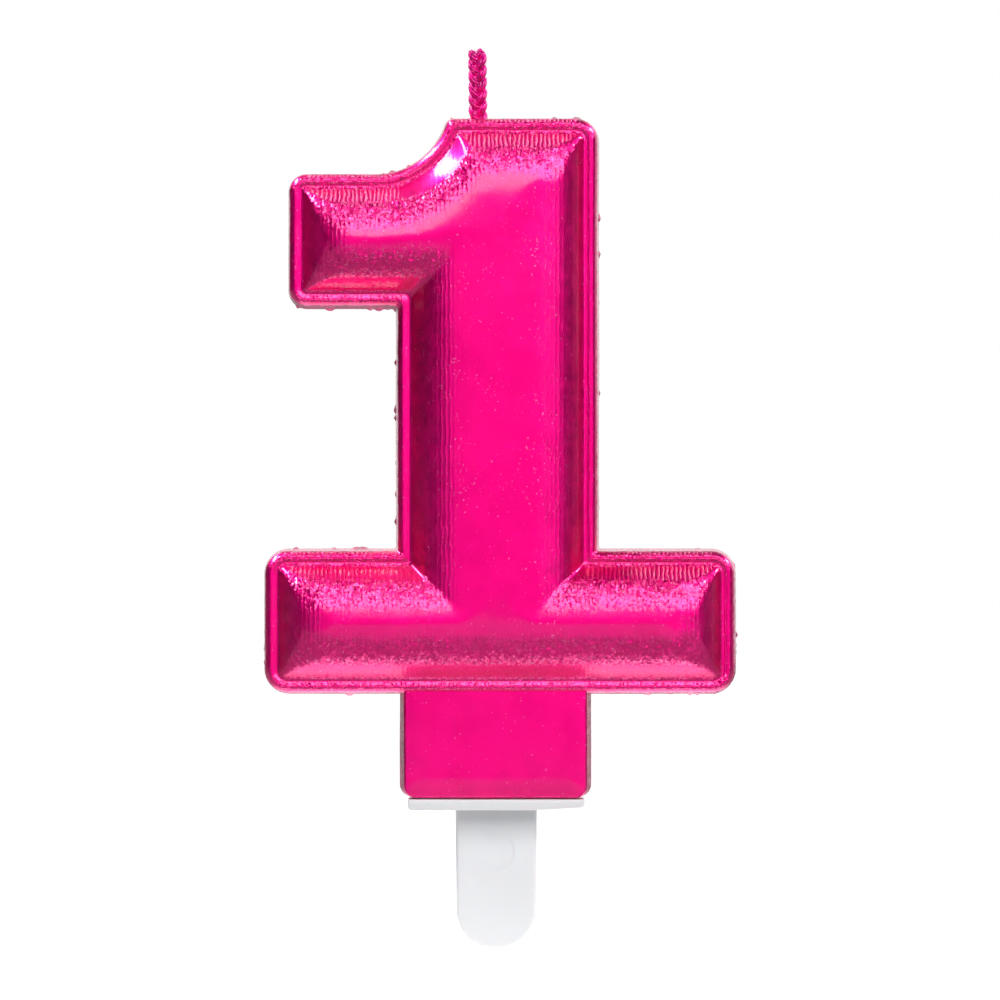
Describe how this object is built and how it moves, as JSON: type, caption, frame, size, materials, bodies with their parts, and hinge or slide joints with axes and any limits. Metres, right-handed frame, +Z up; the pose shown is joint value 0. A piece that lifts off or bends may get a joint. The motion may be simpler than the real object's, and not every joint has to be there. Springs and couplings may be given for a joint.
{
  "type": "number birthday candle",
  "caption": "Moulded wax birthday candle shaped as the numeral one, with a raised bevelled face, a plaited wick and a white plastic pick that pushes into a cake.",
  "frame": {"origin": "middle of the underside of the pick's plate, where it rests on the icing", "axes": "+Z up along the prong and the numeral, the numeral's raised face looks along -Y, +X to the right as seen from the front"},
  "size_m": [0.049, 0.0126, 0.0931],
  "materials": {
    "lacquered_wax": "wax under a metallic hot pink lacquer, glossy with a fine sparkle",
    "wick_cotton": "plaited cotton soaked with the same pink lacquer",
    "white_plastic": "semi-gloss injection moulded plastic, cool white"
  },
  "bodies": {
    "pick": {"pick": "white_plastic"},
    "candle": {"wax_body": "lacquered_wax", "wick_strand_1": "wick_cotton", "wick_strand_2": "wick_cotton", "wick_strand_3": "wick_cotton"}
  },
  "joints": [
    {"name": "candle_pull", "type": "slide", "parent": "pick", "child": "candle", "axis": [0, 0, 1], "range_m": [0, 0.008]}
  ]
}
